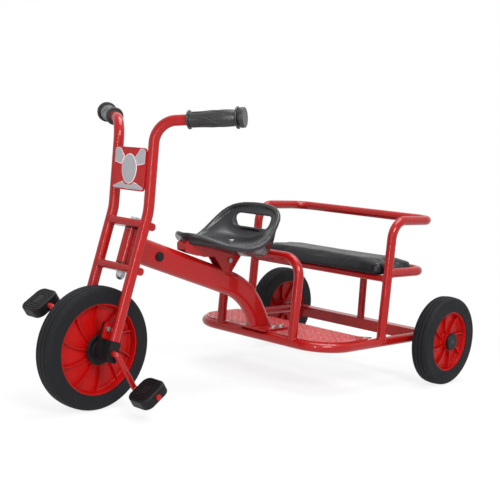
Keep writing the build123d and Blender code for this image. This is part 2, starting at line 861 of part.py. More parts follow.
def bench_board():
    bottom = bench_front_height + bench_tube_d / 2
    front, rear = rear_axle_x + pad_front_ahead, rear_axle_x + pad_rear_ahead
    board = Plane(origin=((front + rear) / 2, 0, bottom)) * RectangleRounded(
        front - rear - 2 * bench_board_inset, 2 * (pad_half - bench_board_inset), pad_corner_r
    )
    return extrude(board, amount=bench_board_t)


def bench_pad():
    bottom = bench_front_height + bench_tube_d / 2 + bench_board_t
    front, rear = rear_axle_x + pad_front_ahead, rear_axle_x + pad_rear_ahead
    outline = RectangleRounded(front - rear, 2 * pad_half, pad_corner_r)
    base = Plane(origin=((front + rear) / 2, 0, bottom)) * outline
    pad = extrude(base, amount=pad_t - bench_board_t)
    return fillet(pad.edges().group_by(Axis.Z)[-1], pad_edge_r)


def bench_post(beam, rail):
    """The post from the axle beam up, bent forward to the bench rail."""
    points = [
        at(0, post_side, rear_wheel_r + beam_size / 4),
        at(0, post_side, post_bend_height),
        at(bench_rear_ahead, post_side, bench_height),
    ]
    return bent_tube(points, [post_bend_r], post_d) - beam - rail


# Driver's seat and its bracket


def seat_low():
    """Height of the seat's lowest point: the seat stands on the main tube at its foot."""
    return main_tube_top(seat_ahead(seat_foot_share)) + seat_lift


def seat_ahead(share):
    return seat_rear_ahead + share * seat_length


def seat_side_points(shares):
    """Points of the seat's side view, from shares of its length and of its height."""
    low = seat_low()
    return [(rear_axle_x + seat_ahead(along), low + rise * seat_h) for along, rise in shares]


def seat_outline(rise, shares):
    """A closed plan outline at one height, from shares of the length and of the half width."""
    left = [(rear_axle_x + seat_ahead(along), out * seat_half) for along, out in shares]
    right = [(x, -y) for x, y in reversed(left[1:-1])]
    return Pos(0, 0, seat_low() + rise * seat_h) * make_face(Spline(*left, *right, periodic=True))


def between(upper, lower):
    """A solid across the seat's width between two lines of its side view that meet at the nose."""
    side = make_face([Spline(*upper), Spline(*lower), Line(upper[-1], lower[0])])
    return extrude(Plane.XZ * side, amount=seat_half + cut_overrun, both=True)


def seat_front_view():
    """A solid along the seat's length that gives the back its crown."""
    low = seat_low()
    left = [(share * seat_half, low + rise * seat_h) for share, rise in seat_crown_shares]
    crown = Spline(*left, *[(-y, z) for y, z in reversed(left[:-1])])
    edge, floor = left[0], low - cut_overrun
    walls = Polyline((-edge[0], edge[1]), (-edge[0], floor), (edge[0], floor), edge)
    plane = Plane(origin=at(seat_rear_ahead + seat_length / 2, 0, 0), x_dir=(0, 1, 0), z_dir=(1, 0, 0))
    return extrude(plane * make_face([crown, walls]), amount=seat_length, both=True)


def seat_shell():
    """The moulded seat: a pan with a raised back round the rider, narrowing to the nose."""
    outer = loft([seat_outline(rise, shares) for rise, shares in seat_outer_shares])
    inner = loft([seat_outline(rise, shares) for rise, shares in seat_inner_shares])
    profile = between(seat_side_points(seat_rim_shares), seat_side_points(seat_under_shares))
    body = outer & profile & seat_front_view()
    pan = seat_side_points(seat_pan_shares)
    lid = [(x, seat_low() + 2 * seat_h) for x, z in reversed(pan)]
    room = extrude(
        Plane.XZ * make_face([Spline(*pan), Polyline(pan[-1], *lid, pan[0])]),
        amount=seat_half + cut_overrun,
        both=True,
    )
    return body - (inner & room)


def seat_slot():
    """The round-cornered handle slot through the seat's back."""
    back = at(seat_rear_ahead - cut_overrun, 0, seat_low() + slot_rise)
    outline = RectangleRounded(2 * slot_half, slot_h, slot_corner_r)
    face = Plane(origin=back, x_dir=(0, 1, 0), z_dir=(1, 0, 0)) * outline
    return extrude(face, amount=seat_length / 3)


def driver_seat(bolts):
    """The seat with its lower and upper edges rounded; these are its longest edges on each side."""
    shell = seat_shell()
    shell = fillet(shell.edges().sort_by(SortBy.LENGTH)[-4:-2], seat_bottom_r) - seat_slot()
    return fillet(shell.edges().sort_by(SortBy.LENGTH)[-2:], seat_rim_r) - bolts


def seat_bolts():
    """The screw through the seat's pan and the bolt across the bracket."""
    low = seat_low()
    ahead = seat_ahead(seat_screw_share)
    pan = low + seat_pan_shares[3][1] * seat_h
    reach = bracket_half + bracket_bolt_head_h
    height = low - bracket_bolt_drop
    across_ahead = seat_ahead(bracket_bolt_share)
    screw = rod(at(ahead, 0, low - bracket_t / 2), at(ahead, 0, pan), seat_screw_r)
    head = round_cap(seat_screw_head_r, seat_screw_head_h, 0)
    screw += Pos(at(ahead, 0, pan - seat_screw_head_h / 3)) * head
    bolt = rod(at(across_ahead, -reach, height), at(across_ahead, reach, height), seat_screw_r)
    for side in (1, -1):
        face, end = side * bracket_half, side * reach
        bolt += rod(at(across_ahead, face, height), at(across_ahead, end, height), bracket_bolt_head_r)
    return [screw, bolt]


def seat_bracket(tube, seat, bolts):
    """The pressed bracket that carries the seat on the main tube; it is open below."""
    low = seat_low()
    points = [
        (rear_axle_x + seat_ahead(along), low + rise * seat_lift)
        for along, rise in bracket_lower_shares + bracket_upper_shares
    ]
    outline = Plane.XZ * make_face(Polyline(*points, close=True))
    body = extrude(outline, amount=bracket_half, both=True)
    core = extrude(outline, amount=bracket_half - bracket_t, both=True)
    hollow = Pos(0, 0, -bracket_reach - bracket_t) * core
    return body - seat - hollow - tube - bolts


def frame():
    loop = platform_loop()
    head_solid, head = head_tube()
    tube = main_tube(head_solid)
    board = footboard()
    rail = support_rail(loop)
    beam = axle_beam()
    seat_rail = bench_rail(rail)
    bolts = seat_bolts()
    seat = driver_seat(bolts)
    hoop_tube = hoop(loop)
    for spot in flange_bolt_spots():
        board -= Pos(spot) * Cylinder(flange_bolt_r, 4 * board_t)
    return {
        "main_tube": tube,
        "head_tube": head,
        "head_bushings": head_bushings(),
        "tube_plug": tube_plug(),
        "foot_flange": foot_flange(),
        "flange_bolts": flange_bolts(),
        "under_channel": under_channel(),
        "platform_loop": loop,
        "footboard": board - hoop_tube,
        "board_gussets": Compound(children=[board_gusset(1), board_gusset(-1)]),
        "axle_beam": beam,
        "rear_axle": rear_axle(),
        "hoop": hoop_tube,
        "support_rail": rail,
        "bench_rail": seat_rail,
        "bench_front_tube": bench_front_tube(rail),
        "bench_board": bench_board(),
        "bench_pad": bench_pad(),
        "bench_post": bench_post(beam, seat_rail),
        "driver_seat": seat,
        "seat_bracket": seat_bracket(tube, seat, bolts),
        "seat_bolts": Compound(children=bolts),
    }


def vehicle():
    pieces = {}
    pieces.update(frame())
    pieces.update(fork())
    pieces.update(front_wheel())
    pieces["crankshaft"] = crankshaft()
    pieces["pedal_left"] = pedal(1)
    pieces["pedal_right"] = pedal(-1)
    pieces.update(rear_wheel(1))
    pieces.update(rear_wheel(-1))
    return pieces


os.makedirs("parts", exist_ok=True)
for name, piece in vehicle().items():
    piece.label = name
    export_step(piece, os.path.join("parts", name + ".step"))
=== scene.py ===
import bpy, bmesh, json, math
from mathutils import Matrix, Vector
from mathutils.bvhtree import BVHTree


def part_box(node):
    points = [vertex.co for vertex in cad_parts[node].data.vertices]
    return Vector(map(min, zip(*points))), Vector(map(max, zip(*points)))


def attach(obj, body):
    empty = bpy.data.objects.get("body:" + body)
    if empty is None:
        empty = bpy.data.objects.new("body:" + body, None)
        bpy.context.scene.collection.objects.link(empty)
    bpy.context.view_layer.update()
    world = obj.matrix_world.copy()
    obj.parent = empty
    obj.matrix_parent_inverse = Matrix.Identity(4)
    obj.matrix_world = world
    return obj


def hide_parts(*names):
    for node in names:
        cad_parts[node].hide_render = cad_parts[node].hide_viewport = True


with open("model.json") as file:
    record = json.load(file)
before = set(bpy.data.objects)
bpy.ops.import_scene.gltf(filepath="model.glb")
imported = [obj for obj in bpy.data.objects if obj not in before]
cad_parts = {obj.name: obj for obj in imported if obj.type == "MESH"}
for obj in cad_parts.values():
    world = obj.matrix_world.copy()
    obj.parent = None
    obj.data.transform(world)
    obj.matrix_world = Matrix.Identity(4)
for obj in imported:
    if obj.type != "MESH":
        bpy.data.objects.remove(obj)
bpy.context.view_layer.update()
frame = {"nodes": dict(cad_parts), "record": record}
scene = bpy.context.scene
nodes = frame["nodes"]
slotOf = {part["node"]: part["material_slot"] for part in frame["record"]["subparts"]}
mm = 0.001
fullTurn = 2 * math.pi
print("frame loaded:", len(nodes), "nodes")


def addNode(tree, kind, inputs=None, **values):
    # a shader node; an input is a plain value or another node's socket
    node = tree.nodes.new(kind)
    for key, value in values.items():
        setattr(node, key, value)
    for key, value in (inputs or {}).items():
        if isinstance(value, bpy.types.NodeSocket):
            tree.links.new(value, node.inputs[key])
        else:
            node.inputs[key].default_value = value
    return node


def calc(tree, operation, *values, **settings):
    # the result of a Math node
    inputs = dict(enumerate(values))
    return addNode(tree, "ShaderNodeMath", inputs, operation=operation, **settings).outputs[0]


def calcVector(tree, operation, *values):
    return addNode(tree, "ShaderNodeVectorMath", dict(enumerate(values)), operation=operation).outputs


def addNoise(tree, vector, scale, **others):
    return addNode(tree, "ShaderNodeTexNoise", {"Vector": vector, "Scale": scale, **others}).outputs["Fac"]


def mixColours(tree, share, first, second):
    return addNode(tree, "ShaderNodeMix", {0: share, 6: first, 7: second}, data_type="RGBA").outputs[2]


def pieceSpace(tree):
    # the place on the piece, in metres
    return addNode(tree, "ShaderNodeTexCoord").outputs["Object"]


def newGroup(name, inputs, output):
    # a node group with plain inputs and one output
    group = bpy.data.node_groups.new(name, "ShaderNodeTree")
    for label, kind, value in inputs:
        socket = group.interface.new_socket(label, in_out="INPUT", socket_type=kind)
        socket.default_value = value
    group.interface.new_socket(output[0], in_out="OUTPUT", socket_type=output[1])
    return group, group.nodes.new("NodeGroupInput").outputs, group.nodes.new("NodeGroupOutput")


def useGroup(tree, group, **inputs):
    return addNode(tree, "ShaderNodeGroup", node_tree=group, inputs=inputs).outputs[0]


def newMaterial(name, **sockets):
    # a material with one Principled shader; plain values go straight on its sockets
    material = bpy.data.materials.new(name)
    material.use_nodes = True
    tree = material.node_tree
    shader = tree.nodes["Principled BSDF"]
    for key, value in sockets.items():
        shader.inputs[key.replace("_", " ")].default_value = value
    return material, tree, shader


def addBump(tree, shader, height, distance):
    bump = addNode(tree, "ShaderNodeBump", {"Height": height, "Distance": distance, "Strength": 1.0})
    tree.links.new(bump.outputs["Normal"], shader.inputs["Normal"])


def rgb(*colour):
    # a colour as read on screen, turned to the linear value that a shader takes
    def linear(c):
        return c / 255 / 12.92 if c <= 10 else ((c / 255 + 0.055) / 1.055) ** 2.4

    return [linear(c) for c in colour] + [1]


def makeToneDrift():
    # slow changes of lightness over a surface
    group, given, out = newGroup(
        "toneDrift",
        [("Colour", "NodeSocketColor", (1, 1, 1, 1)), ("Scale", "NodeSocketFloat", 6),
         ("Amount", "NodeSocketFloat", 0.1)],
        ("Colour", "NodeSocketColor"))
    noise = addNoise(group, pieceSpace(group), given["Scale"], Detail=4.0, Roughness=0.6)
    centred = calc(group, "SUBTRACT", noise, 0.5)
    level = calc(group, "ADD", calc(group, "MULTIPLY", centred, given["Amount"]), 1.0)
    tinted = addNode(group, "ShaderNodeVectorMath", {0: given["Colour"], "Scale": level}, operation="SCALE")
    group.links.new(tinted.outputs[0], out.inputs["Colour"])
    return group


def makeRubMarks():
    # fine scuffs and hand marks that change the gloss
    group, given, out = newGroup(
        "rubMarks",
        [("Roughness", "NodeSocketFloat", 0.3), ("Scale", "NodeSocketFloat", 20),
         ("Amount", "NodeSocketFloat", 0.1)],
        ("Roughness", "NodeSocketFloat"))
    marks = dict(stretch=(1, 1, 6), turn=(0.4, 0.7, 0.2), fineScale=160.0, low=0.16, high=0.42)
    place = pieceSpace(group)
    smudge = addNoise(group, place, given["Scale"], Detail=6.0, Distortion=0.6)
    stretched = addNode(group, "ShaderNodeMapping",
                        {"Vector": place, "Scale": marks["stretch"], "Rotation": marks["turn"]})
    fine = addNoise(group, stretched.outputs[0], marks["fineScale"], Detail=3.0)
    both = calc(group, "MULTIPLY", smudge, fine)
    spread = addNode(group, "ShaderNodeMapRange",
                     {"Value": both, "From Min": marks["low"], "From Max": marks["high"]}).outputs[0]
    sized = calc(group, "MULTIPLY", spread, given["Amount"])
    total = calc(group, "ADD", sized, given["Roughness"], use_clamp=True)
    group.links.new(total, out.inputs["Roughness"])
    return group


def makeMouldGrain():
    # the pebbled grain of a spark-eroded mould, or the orange peel of a sprayed coat
    group, given, out = newGroup(
        "mouldGrain",
        [("Scale", "NodeSocketFloat", 900), ("Soft", "NodeSocketFloat", 0.5)],
        ("Height", "NodeSocketFloat"))
    place = pieceSpace(group)
    cells = addNode(group, "ShaderNodeTexVoronoi", {"Vector": place, "Scale": given["Scale"]},
                    feature="SMOOTH_F1")
    noise = addNoise(group, place, given["Scale"], Detail=2.0)
    mixed = addNode(group, "ShaderNodeMix", {0: given["Soft"], 2: cells.outputs["Distance"], 3: noise})
    group.links.new(mixed.outputs[0], out.inputs["Height"])
    return group


def makeTurnedRings():
    # fine rings round an axle that lies across the vehicle, on the flanks and on the tread
    group, given, out = newGroup(
        "turnedRings",
        [("Centre", "NodeSocketVector", (0, 0, 0)), ("Pitch", "NodeSocketFloat", 0.002)],
        ("Height", "NodeSocketFloat"))
    away = calcVector(group, "SUBTRACT", pieceSpace(group), given["Centre"])[0]
    flat = calcVector(group, "MULTIPLY", away, (1, 0, 1))[0]
    reach = calcVector(group, "LENGTH", flat)["Value"]
    across = addNode(group, "ShaderNodeSeparateXYZ", {0: away}).outputs["Y"]
    waves, oneTurn = [], 6.2832
    for source in (reach, across):
        turns = calc(group, "DIVIDE", source, given["Pitch"])
        waves.append(calc(group, "SINE", calc(group, "MULTIPLY", turns, oneTurn)))
    group.links.new(calc(group, "ADD", *waves), out.inputs["Height"])
    return group


toneDrift, rubMarks = makeToneDrift(), makeRubMarks()
mouldGrain, turnedRings = makeMouldGrain(), makeTurnedRings()


def grainedSurface(name, look):
    # most of the finishes: drifting tone, rubbed gloss and a fine relief
    material, tree, shader = newMaterial(name, **look["fixed"])
    tone = useGroup(tree, toneDrift, Colour=look["colour"], Scale=look["driftScale"], Amount=look["drift"])
    rub = useGroup(tree, rubMarks, Roughness=look["roughness"], Scale=look["rubScale"], Amount=look["rub"])
    height = useGroup(tree, mouldGrain, Scale=look["grainScale"], Soft=look["grainSoft"])
    tree.links.new(tone, shader.inputs["Base Color"])
    tree.links.new(rub, shader.inputs["Roughness"])
    if "rings" in look:
        rings = useGroup(tree, turnedRings, Centre=look["rings"]["centre"], Pitch=look["rings"]["pitch"])
        height = calc(tree, "MULTIPLY_ADD", rings, look["rings"]["share"], height)
    if "waves" in look:
        waves = addNoise(tree, pieceSpace(tree), look["waves"]["scale"], Detail=2.0, Distortion=0.8)
        height = calc(tree, "MULTIPLY_ADD", waves, look["waves"]["share"], height)
    addBump(tree, shader, height, look["grainDepth"])
    return material


looks = {
    "red_paint": dict(
        colour=rgb(146, 11, 11), roughness=0.25, driftScale=5, drift=0.14, rubScale=14, rub=0.14,
        grainScale=420, grainSoft=1.0, grainDepth=0.00008,
        fixed=dict(Coat_Weight=0.35, Coat_Roughness=0.04, Specular_IOR_Level=0.15)),
    "board_paint": dict(
        colour=rgb(158, 14, 16), roughness=0.26, driftScale=9, drift=0.16, rubScale=20, rub=0.16,
        grainScale=420, grainSoft=1.0, grainDepth=0.0001,
        fixed=dict(Coat_Weight=0.25, Coat_Roughness=0.08, Specular_IOR_Level=0.2)),
    "red_plastic": dict(
        colour=rgb(162, 9, 8), roughness=0.3, driftScale=9, drift=0.1, rubScale=25, rub=0.18,
        grainScale=700, grainSoft=0.8, grainDepth=0.00006,
        fixed=dict(Specular_IOR_Level=0.18, Subsurface_Weight=0.05, Subsurface_Scale=0.002)),
    "plate_plastic": dict(
        colour=rgb(158, 18, 20), roughness=0.28, driftScale=12, drift=0.1, rubScale=30, rub=0.2,
        grainScale=800, grainSoft=1.0, grainDepth=0.00004,
        fixed=dict(Coat_Weight=0.15, Coat_Roughness=0.1, Specular_IOR_Level=0.2)),
    "black_plastic": dict(
        colour=rgb(18, 18, 20), roughness=0.38, driftScale=12, drift=0.3, rubScale=25, rub=0.25,
        grainScale=1100, grainSoft=0.3, grainDepth=0.00012, fixed=dict(Specular_IOR_Level=0.18)),
    "seat_plastic": dict(
        colour=rgb(34, 34, 37), roughness=0.23, driftScale=8, drift=0.2, rubScale=18, rub=0.2,
        grainScale=900, grainSoft=0.3, grainDepth=0.00008, fixed=dict(Specular_IOR_Level=0.32)),
    "grip_rubber": dict(
        colour=rgb(28, 28, 29), roughness=0.28, driftScale=14, drift=0.3, rubScale=30, rub=0.2,
        grainScale=1300, grainSoft=0.4, grainDepth=0.00006, fixed=dict(Specular_IOR_Level=0.5)),
    "tyre_rubber": dict(
        colour=rgb(22, 23, 26), roughness=0.62, driftScale=10, drift=0.3, rubScale=22, rub=0.2,
        grainScale=1000, grainSoft=0.5, grainDepth=0.00014, fixed=dict(Specular_IOR_Level=0.16)),
    "vinyl": dict(
        colour=rgb(17, 17, 20), roughness=0.3, driftScale=7, drift=0.2, rubScale=16, rub=0.2,
        waves=dict(scale=30, share=5.0),
        grainScale=600, grainSoft=0.15, grainDepth=0.00014, fixed=dict(Specular_IOR_Level=0.25)),
    "plate_silver": dict(
        colour=rgb(150, 150, 154), roughness=0.34, driftScale=14, drift=0.12, rubScale=30, rub=0.2,
        grainScale=800, grainSoft=1.0, grainDepth=0.00004, fixed=dict(Specular_IOR_Level=0.5)),
    "plate_edge": dict(
        colour=rgb(226, 206, 210), roughness=0.34, driftScale=14, drift=0.08, rubScale=30, rub=0.2,
        grainScale=800, grainSoft=1.0, grainDepth=0.00004, fixed=dict(Specular_IOR_Level=0.5)),
    "zinc": dict(
        colour=rgb(158, 160, 163), roughness=0.34, driftScale=60, drift=0.2, rubScale=80, rub=0.25,
        grainScale=2400, grainSoft=0.6, grainDepth=0.00004, fixed=dict(Metallic=1.0)),
}


def boardFinish():
    # plywood whose edges are wrapped in the cushion's black vinyl, which is folded in underneath
    look = dict(fold=0.022, vinyl=rgb(17, 17, 20), pale=rgb(190, 156, 108), dark=rgb(150, 116, 74),
                streaks=(30, 3, 30), grain=6.0, depth=0.0001)
    low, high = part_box("bench_board")
    material, tree, shader = newMaterial("wrappedBoardFinish", Roughness=0.6, Specular_IOR_Level=0.2)
    place = pieceSpace(tree)
    away = calcVector(tree, "SUBTRACT", place, tuple((low + high) / 2))[0]
    size = calcVector(tree, "ABSOLUTE", away)[0]
    parts = addNode(tree, "ShaderNodeSeparateXYZ", {0: size}).outputs
    halves = {"X": (high.x - low.x) / 2, "Y": (high.y - low.y) / 2}
    folds = [calc(tree, "GREATER_THAN", parts[axis], half - look["fold"]) for axis, half in halves.items()]
    wrapped = calc(tree, "MAXIMUM", *folds)
    stretched = addNode(tree, "ShaderNodeMapping", {"Vector": place, "Scale": look["streaks"]})
    grain = addNoise(tree, stretched.outputs[0], look["grain"], Detail=6.0)
    wood = mixColours(tree, grain, look["pale"], look["dark"])
    tree.links.new(mixColours(tree, wrapped, wood, look["vinyl"]), shader.inputs["Base Color"])
    addBump(tree, shader, grain, look["depth"])
    return material


def axleFinish():
    # a bright axle whose ends, seen in the caps, are black
    look = dict(looks["zinc"], black=rgb(10, 10, 11), brightTo=0.292, roughness=0.36)
    material, tree, shader = newMaterial("axleFinish")
    across = addNode(tree, "ShaderNodeSeparateXYZ", {0: pieceSpace(tree)}).outputs["Y"]
    bright = calc(tree, "LESS_THAN", calc(tree, "ABSOLUTE", across), look["brightTo"])
    colour = mixColours(tree, bright, look["black"], look["colour"])
    tone = useGroup(tree, toneDrift, Colour=colour, Scale=look["driftScale"], Amount=look["drift"])
    rub = useGroup(tree, rubMarks, Roughness=look["roughness"], Scale=look["rubScale"], Amount=look["rub"])
    tree.links.new(tone, shader.inputs["Base Color"])
    tree.links.new(bright, shader.inputs["Metallic"])
    tree.links.new(rub, shader.inputs["Roughness"])
    return material


def tyreFinish(node):
    # the tyre's rings lie round its own axle
    low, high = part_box(node)
    rings = dict(centre=tuple((low + high) / 2), pitch=0.0024, share=1.1)
    return grainedSurface(node + "Finish", dict(looks["tyre_rubber"], rings=rings))


materials = {slot: grainedSurface(slot + "Finish", look) for slot, look in looks.items()}
materials["plywood"] = boardFinish()
ownFinish = {node: tyreFinish(node) for node in ("front_tyre", "rear_tyre_left", "rear_tyre_right")}
ownFinish["footboard"] = materials["board_paint"]
ownFinish["rear_axle"] = axleFinish()
for nodeName, piece in nodes.items():
    piece.data.materials.clear()
    piece.data.materials.append(ownFinish.get(nodeName, materials[slotOf[nodeName]]))
print("finishes given to the CAD pieces")

rearAxleBehind = 438.5
frontAxle = Vector((0.4205, 0, 0.127))
forkLean = math.radians(15.5)
forkUp = Vector((-math.sin(forkLean), 0, math.cos(forkLean)))
forkAhead = Vector((math.cos(forkLean), 0, math.sin(forkLean)))
worldAhead, worldLeft, worldUp = Vector((1, 0, 0)), Vector((0, 1, 0)), Vector((0, 0, 1))


def at(ahead, side, height):
    # a point in millimetres ahead of the rear axle, to the rider's left and above the floor
    return Vector((ahead - rearAxleBehind, side, height)) * mm


def inFork(ahead, side, height):
    # a point in millimetres ahead of the fork's legs, to the left and up along them from the front axle
    return frontAxle + (forkAhead * ahead + forkUp * height + Vector((0, side, 0))) * mm


def anglesOf(count):
    return [fullTurn * i / count for i in range(count)]


def roundedOutline(reachWide, reachTall, radius, steps):
    # the points of a rectangle with round corners, whose centres lie at the two reaches
    points = []
    for way, (wide, tall) in enumerate(((1, 1), (-1, 1), (-1, -1), (1, -1))):
        for i in range(steps + 1):
            turn = math.radians(way * 90 + i * 90 / steps)
            points.append((wide * reachWide + radius * math.cos(turn),
                           tall * reachTall + radius * math.sin(turn)))
    return points


def addPiece(name, data, slot, body, finish=None):
    item = bpy.data.objects.new(name, data)
    scene.collection.objects.link(item)
    data.materials.append(materials[finish or slot])
    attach(item, body)
    return item


def meshOf(name, build):
    # a mesh that a function fills through bmesh
    form = bmesh.new()
    build(form)
    bmesh.ops.recalc_face_normals(form, faces=form.faces)
    mesh = bpy.data.meshes.new(name)
    form.to_mesh(mesh)
    form.free()
    return mesh


def helperOf(name, build):
    # an object that only lends its mesh to another
    item = bpy.data.objects.new(name, meshOf(name, build))
    scene.collection.objects.link(item)
    return item


def joinRings(form, first, second):
    for i in range(len(first)):
        j = (i + 1) % len(first)
        form.faces.new((first[i], first[j], second[j], second[i]))


def shaped(item):
    # the mesh of a piece as its modifiers leave it
    bpy.context.view_layer.update()
    return bpy.data.meshes.new_from_object(item.evaluated_get(bpy.context.evaluated_depsgraph_get()))


def settle(item, slot):
    # the piece takes on the mesh that its modifiers give, smooth, and drops them
    mesh = shaped(item)
    item.modifiers.clear()
    mesh.shade_smooth()
    mesh.materials.clear()
    mesh.materials.append(materials[slot])
    item.data = mesh
    return mesh


cushion = dict(front=196, rear=52, half=203, floor=270.8, top=304, corner=20, edge=8, inset=1.5, dip=6,
               voxel=0.005, pressure=2, frames=20, reach=7, boardTop=278.3, boardInset=8, clearance=0.5,
               pinned=2)
cushionMiddle = (cushion["front"] + cushion["rear"]) / 2


def cushionBlock(form):
    # the cut foam: a slab with round corners and a rounded top edge
    top = cushion["top"] - cushion["dip"]
    length = cushion["front"] - cushion["rear"] - 2 * cushion["inset"]
    size = (length, 2 * (cushion["half"] - cushion["inset"]), top - cushion["floor"])
    centre = at(cushionMiddle, 0, cushion["floor"] + size[2] / 2)
    bmesh.ops.create_cube(form, size=1)
    for vert in form.verts:
        vert.co = centre + Vector(a * b * mm for a, b in zip(vert.co, size))
    posts = [edge for edge in form.edges if abs(edge.verts[0].co.z - edge.verts[1].co.z) > mm]
    bmesh.ops.bevel(form, geom=posts, offset=cushion["corner"] * mm, segments=8, profile=0.5, affect="EDGES")
    upper = [edge for edge in form.edges if min(v.co.z for v in edge.verts) > top * mm - 1e-5]
    bmesh.ops.bevel(form, geom=upper, offset=cushion["edge"] * mm, segments=4, profile=0.5, affect="EDGES")


def swellCushion(item, grid):
    # the vinyl as cloth, pushed out from inside and held along its bottom
    still = item.vertex_groups.new(name="still")
    pinned = [v.index for v in grid.vertices if v.co.z < (cushion["floor"] + cushion["pinned"]) * mm]
    still.add(pinned, 1.0, "REPLACE")
    cloth = item.modifiers.new("cloth", "CLOTH")
    cloth.settings.use_pressure = True
    cloth.settings.uniform_pressure_force = cushion["pressure"]
    cloth.settings.effector_weights.gravity = 0
    cloth.settings.vertex_group_mass = "still"
    for number in range(1, cushion["frames"] + 1):
        scene.frame_set(number)
    swollen = shaped(item)
    item.modifiers.remove(cloth)
    scene.frame_set(1)
    for vert, grown in zip(grid.vertices, swollen.vertices):
        move = grown.co - vert.co
        if move.length > cushion["reach"] * mm:
            move *= cushion["reach"] * mm / move.length
        vert.co += move


def makeCushion():
    # black vinyl stretched over foam; its skirt hangs round the edge of the board
    start = helperOf("cushionStart", cushionBlock)
    remesh = start.modifiers.new("grid", "REMESH")
    remesh.mode, remesh.voxel_size = "VOXEL", cushion["voxel"]
    grid = shaped(start)
    bpy.data.objects.remove(start)
    item = addPiece("benchCushion", grid, "vinyl", "frame")
    swellCushion(item, grid)
    finer = item.modifiers.new("finer", "SUBSURF")
    finer.levels = finer.render_levels = 1
    mesh = settle(item, "vinyl")
    # the underside rests on the board
    boardTop, boardMiddle = cushion["boardTop"] * mm, at(cushionMiddle, 0, 0).x
    margin = (cushion["clearance"] - cushion["boardInset"]) * mm
    halfLength = (cushion["front"] - cushion["rear"]) / 2 * mm + margin
    halfWidth = cushion["half"] * mm + margin
    for vert in mesh.vertices:
        onBoard = abs(vert.co.x - boardMiddle) < halfLength and abs(vert.co.y) < halfWidth
        if onBoard and vert.co.z < boardTop:
            vert.co.z = boardTop
    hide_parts("bench_pad")


makeCushion()
print("bench cushion made")

seat = dict(rim=5.8, turns=72, rings=16, slotHalf=60, slotHeight=34, slotAt=381, slotCorner=14, slotSteps=12,
            slotFrom=380, slotTo=450, slotBead=3.6, beadDepth=1.5, beadSides=12, before=600,
            voxel=0.0025, softness=0.5, soften=6, panLift=1.0, panPower=2.4, underDrop=3.0, underPower=4.5)
# stations from the nose to the top: the rim's place, then ahead and height of the pan and of the underside
seatStations = [
    ((636, 0, 352), (636, 352), (634, 337)), ((631, 18, 353), (629, 351.5), (628, 332)),
    ((616, 38, 350), (614, 350.5), (613, 330)), ((598, 58, 343), (598, 349), (598, 328.5)),
    ((577, 77, 335), (578, 345.5), (578, 325.5)), ((553, 90, 330), (555, 341), (555, 320.5)),
    ((528, 99, 328), (530, 338), (530, 315.5)), ((500, 103, 334), (503, 336), (503, 308.5)),
    ((475, 103, 348), (478, 335.5), (475, 303.5)), ((452, 97, 371), (457, 336), (446, 302)),
    ((431, 88, 393), (440, 341), (420, 302)), ((417, 70, 408), (428, 353), (404, 320)),
    ((408, 44, 415), (420, 372), (402, 350)), ((404, 20, 417), (412, 397), (401, 385)),
    ((403, 0, 417.5), (403, 417.5), (401, 412))]
seatRim, seatPan, seatUnder = zip(*seatStations)


def seatCurve(values, along):
    # a smooth line through the stations' values; along runs from -1 at the nose to 1 at the top
    last = len(seatStations) - 1
    share = max(0.0, min(1.0, (along + 1) / 2)) * last
    i = min(last - 1, int(share))
    t = share - i
    near = (values[max(0, min(last, i + k))] for k in (-1, 0, 1, 2))
    return tuple(0.5 * (2 * q + (r - p) * t + (2 * p - 5 * q + 4 * r - s) * t * t
                        + (3 * q - p - 3 * r + s) * t ** 3) for p, q, r, s in zip(*near))


def seatSpot(along, across, middles, lift, power):
    # along and across run over a disc whose edge is the rim
    side = max(-1.0, min(1.0, across / math.sqrt(max(1e-9, 1 - along * along))))
    rim, middle = seatCurve(seatRim, along), seatCurve(middles, along)
    blend = abs(side) ** power
    return at(middle[0] + (rim[0] - middle[0]) * blend, rim[1] * side,
              middle[1] + (rim[2] + lift - middle[1]) * blend)


def seatShell(form):
    skins = []
    for middles, lift, power in ((seatPan, seat["panLift"], seat["panPower"]),
                                 (seatUnder, -seat["underDrop"], seat["underPower"])):
        rings = []
        for ring in range(1, seat["rings"] + 1):
            reach = ring / seat["rings"]
            spots = [seatSpot(-reach * math.cos(a), reach * math.sin(a), middles, lift, power)
                     for a in anglesOf(seat["turns"])]
            rings.append([form.verts.new(place) for place in spots])
        skins.append((rings, form.verts.new(seatSpot(0, 0, middles, lift, power))))
    after = [(i + 1) % seat["turns"] for i in range(seat["turns"])]
    for rings, core in skins:
        for i, j in enumerate(after):
            form.faces.new((core, rings[0][i], rings[0][j]))
            for inner, outer in zip(rings, rings[1:]):
                form.faces.new((inner[i], outer[i], outer[j], inner[j]))
    top, under = (rings[-1] for rings, core in skins)
    for i, j in enumerate(after):
        form.faces.new((top[i], under[i], under[j], top[j]))


def slotOutline(ahead):
    corner = seat["slotCorner"]
    reachWide, reachTall = seat["slotHalf"] - corner, seat["slotHeight"] / 2 - corner
    return [at(ahead, side, seat["slotAt"] + height)
            for side, height in roundedOutline(reachWide, reachTall, corner, seat["slotSteps"])]


def slotCutter(form):
    back, front = ([form.verts.new(point) for point in slotOutline(seat[end])]
                   for end in ("slotFrom", "slotTo"))
    joinRings(form, back, front)
    form.faces.new(back)
    form.faces.new(front)


